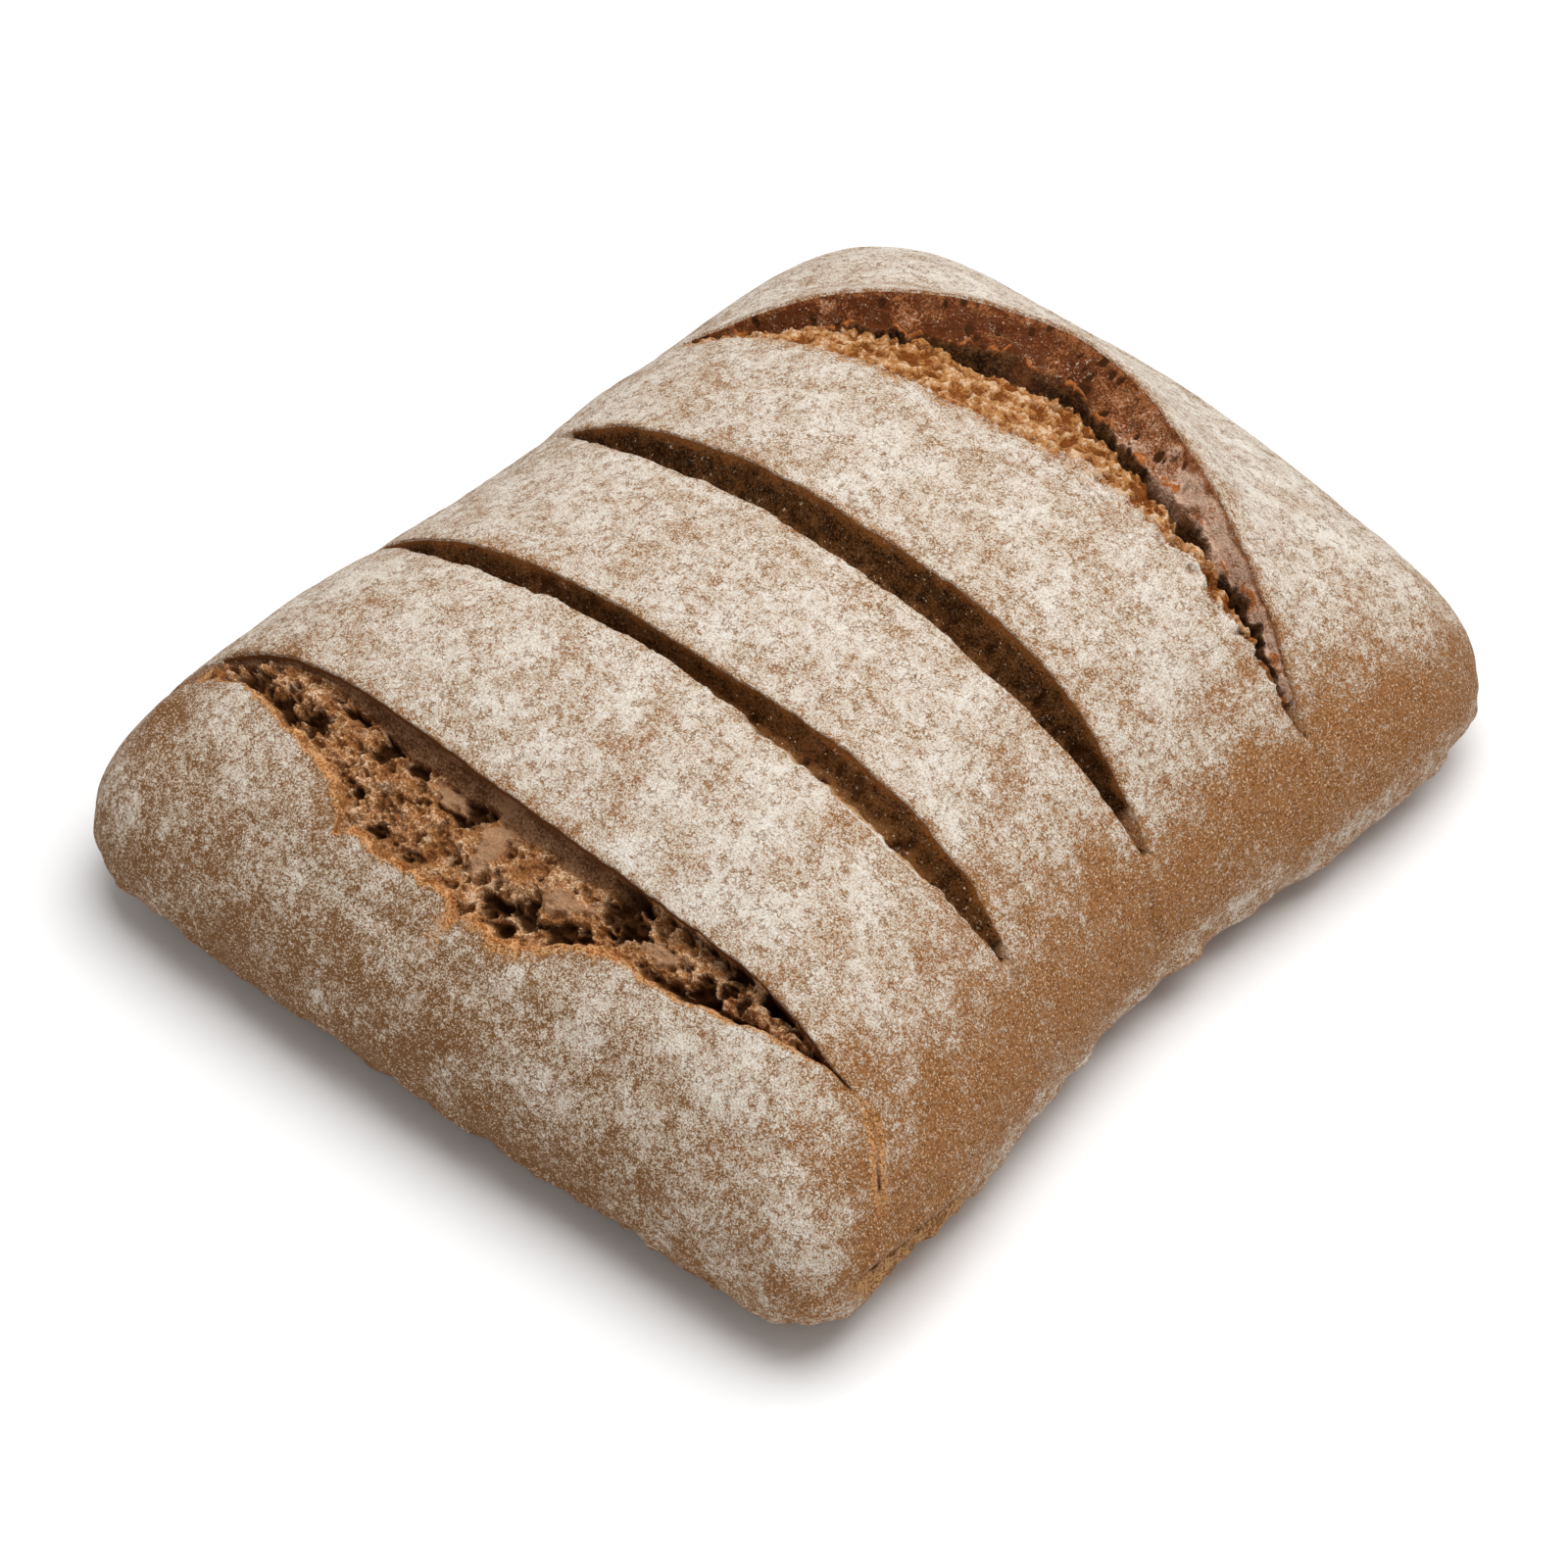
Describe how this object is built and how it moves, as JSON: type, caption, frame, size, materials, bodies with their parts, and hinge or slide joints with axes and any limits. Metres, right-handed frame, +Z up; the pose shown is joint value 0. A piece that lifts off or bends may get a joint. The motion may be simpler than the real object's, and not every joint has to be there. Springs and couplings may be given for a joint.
{
  "type": "rye bread loaf",
  "caption": "Flat pillow-shaped rye bread loaf with a floured crust, slashed across the top, its end slashes torn open over spongy crumb.",
  "frame": {"origin": "on the floor under the middle of the loaf's box", "axes": "+X along the slashes, +Y along the loaf's length towards the end with the raised ear of crust, +Z up"},
  "size_m": [0.1908, 0.2316, 0.0689],
  "materials": {
    "rye_crust": "matt brown rye crust under a thin uneven dusting of flour, spongy brown crumb in the torn slashes"
  },
  "bodies": {
    "root": {"loaf": "rye_crust"}
  },
  "joints": []
}
